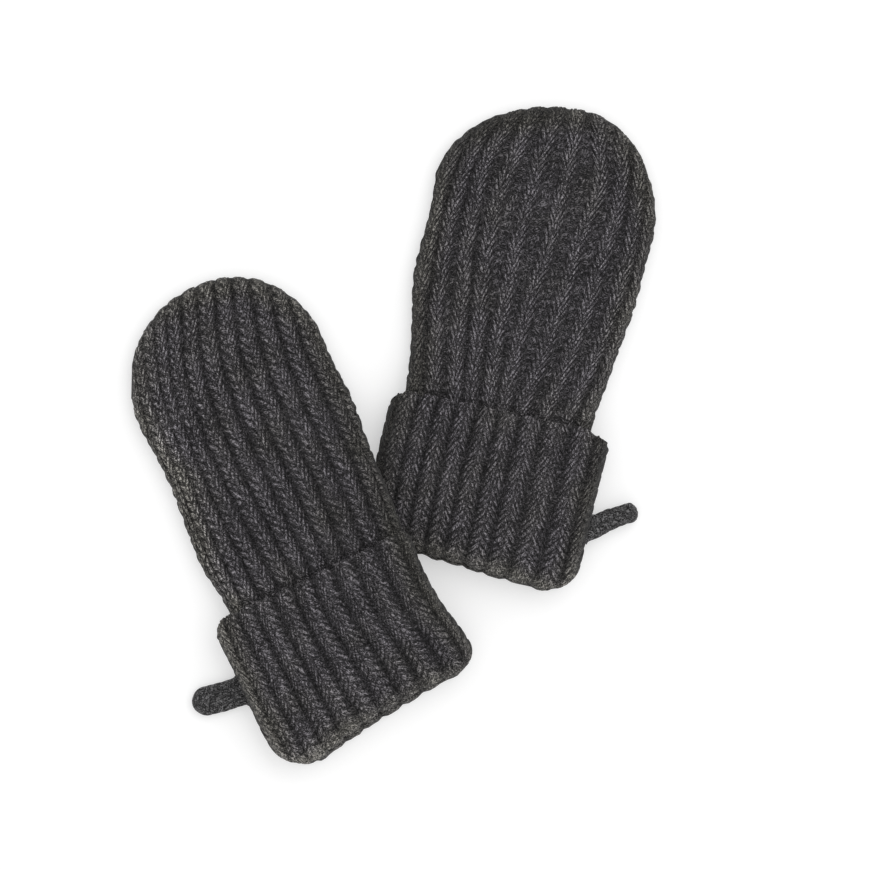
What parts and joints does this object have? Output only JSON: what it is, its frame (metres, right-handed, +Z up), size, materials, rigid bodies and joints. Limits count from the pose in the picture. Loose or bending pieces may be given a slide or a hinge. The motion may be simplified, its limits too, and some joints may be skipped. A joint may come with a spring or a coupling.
{
  "type": "pair of baby mittens, laid flat",
  "caption": "Pair of thumbless ribbed knit baby mittens with turned-up cuffs and short cord loops, laid flat, one lying on the other's cuff corner.",
  "frame": {"origin": "middle of the pair's box, on the surface that the pair lies on", "axes": "+Z up from the surface; +Y towards the finger tips as the pair is seen, +X to its right. The left mitten is turned 20 degrees to the left of +Y and the right one 13 degrees to the right."},
  "size_m": [0.156, 0.1973, 0.0219],
  "materials": {
    "rib_knit": "dark heather grey wool, rib knit, matt with a light nap",
    "loop_cord": "the same wool, knitted into a narrow cord"
  },
  "bodies": {
    "root": {"left_hand_back": "rib_knit", "left_hand_palm": "rib_knit", "left_cuff_back": "rib_knit", "left_cuff_palm": "rib_knit", "left_loop": "loop_cord", "right_hand_back": "rib_knit", "right_hand_palm": "rib_knit", "right_cuff_back": "rib_knit", "right_cuff_palm": "rib_knit", "right_loop": "loop_cord"}
  },
  "joints": []
}
